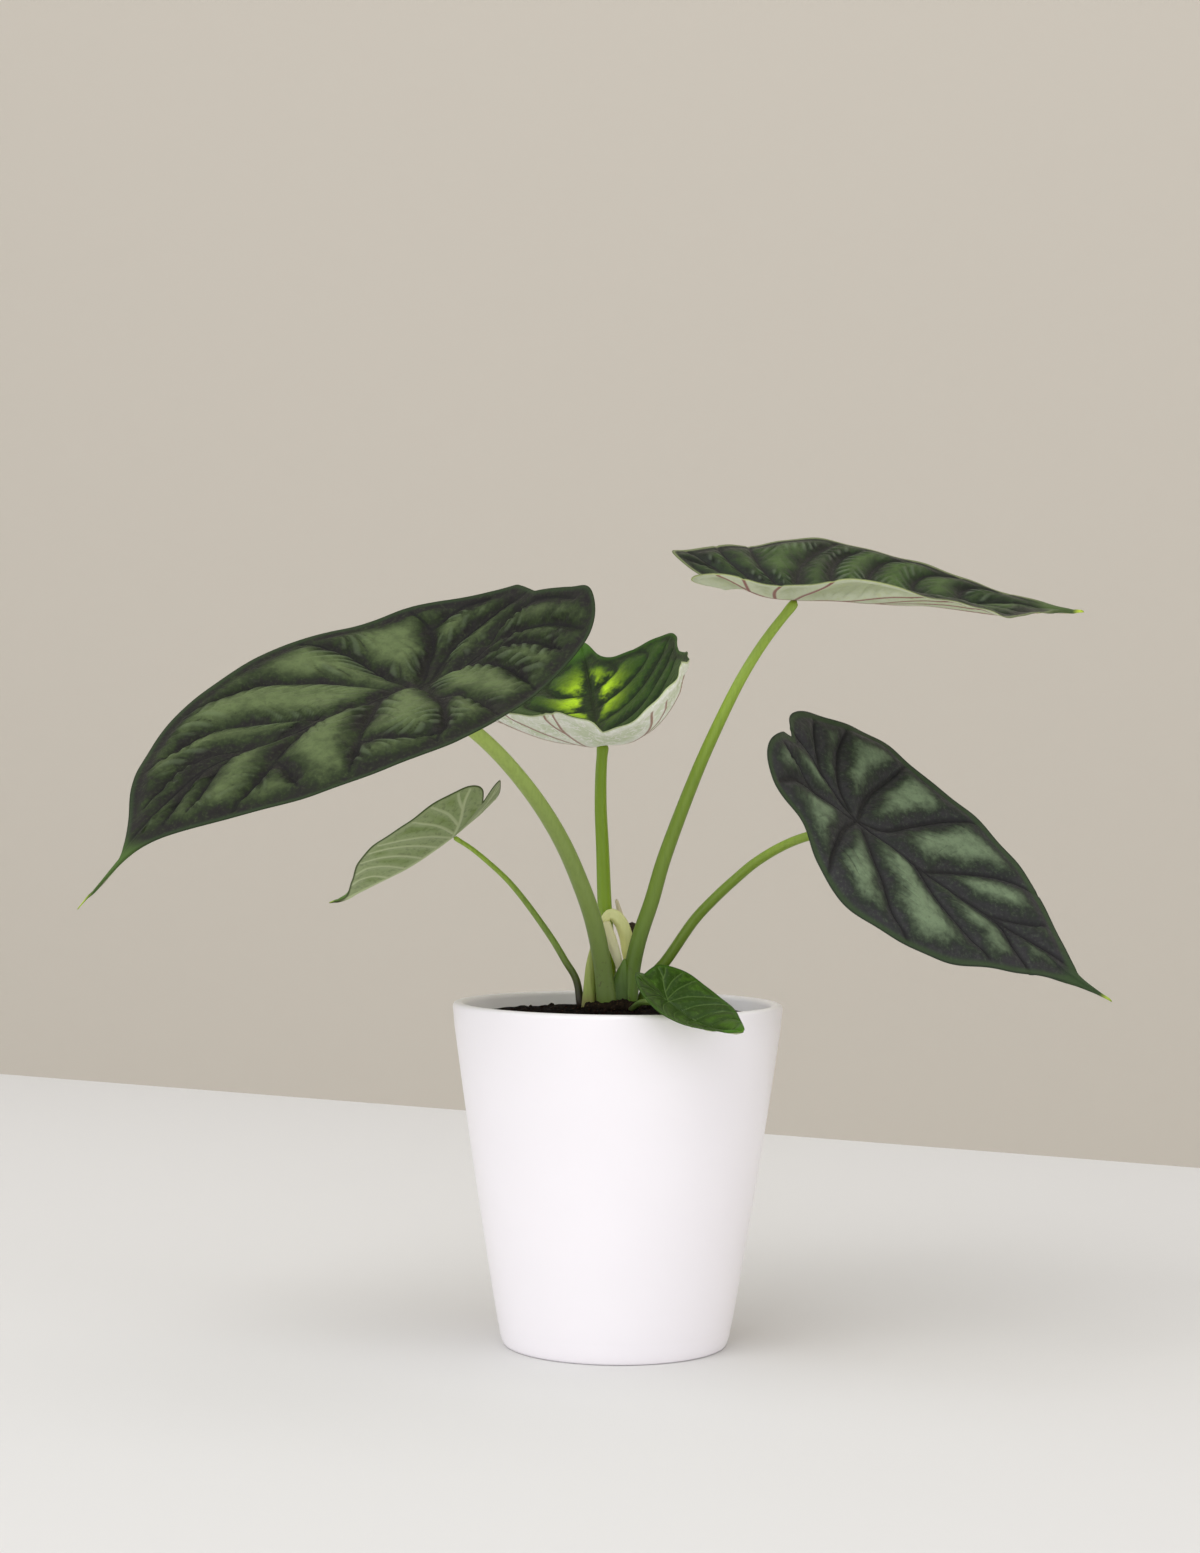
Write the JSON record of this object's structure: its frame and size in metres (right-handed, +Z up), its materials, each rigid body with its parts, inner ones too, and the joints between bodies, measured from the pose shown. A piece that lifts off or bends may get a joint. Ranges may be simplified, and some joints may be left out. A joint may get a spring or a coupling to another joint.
{
  "type": "potted alocasia plant",
  "caption": "Potted plant with large pointed quilted leaves on arching fleshy stalks, rising from dark potting mix in a tapered white glazed pot.",
  "frame": {"origin": "centre of the pot's flat base, on the surface that the pot stands on", "axes": "+Z up along the pot's axis; +X toward the tip of the highest leaf; -Y is the front, where the largest leaf's near edge and the leaf hanging over the rim are"},
  "size_m": [0.3729, 0.2474, 0.3219],
  "materials": {
    "centre_leaf_blade": "young green leaf, soft sheen",
    "centre_leaf_stalk": "bright green stalk, satin",
    "crown": "brown rough crown",
    "dead_stub": "dark dead stalk",
    "green_sheath": "light green sheath",
    "left_leaf_blade": "dark green quilted leaf, satin",
    "left_leaf_stalk": "green fleshy stalk, satin",
    "low_leaf_blade": "pale underside of a small leaf, matt",
    "low_leaf_stalk": "green fleshy stalk, satin",
    "papery_sheath": "dry papery sheath",
    "pot": "gloss white glaze",
    "potting_mix": "damp dark potting mix, rough",
    "right_leaf_blade": "dark green quilted leaf, satin",
    "right_leaf_stalk": "green fleshy stalk, satin",
    "rim_leaf_blade": "glossy green leaf",
    "rim_leaf_stalk": "green fleshy stalk, satin",
    "sheath_strip": "pale yellow sheath",
    "top_leaf_blade": "dark green quilted leaf, satin",
    "top_leaf_stalk": "green fleshy stalk, satin",
    "yellow_sheath": "pale yellow sheath"
  },
  "bodies": {
    "root": {"centre_leaf_blade": "centre_leaf_blade", "centre_leaf_stalk": "centre_leaf_stalk", "crown": "crown", "dead_stub": "dead_stub", "green_sheath": "green_sheath", "left_leaf_blade": "left_leaf_blade", "left_leaf_stalk": "left_leaf_stalk", "low_leaf_blade": "low_leaf_blade", "low_leaf_stalk": "low_leaf_stalk", "papery_sheath": "papery_sheath", "pot": "pot", "potting_mix": "potting_mix", "right_leaf_blade": "right_leaf_blade", "right_leaf_stalk": "right_leaf_stalk", "rim_leaf_blade": "rim_leaf_blade", "rim_leaf_stalk": "rim_leaf_stalk", "sheath_strip": "sheath_strip", "top_leaf_blade": "top_leaf_blade", "top_leaf_stalk": "top_leaf_stalk", "yellow_sheath": "yellow_sheath"}
  },
  "joints": []
}
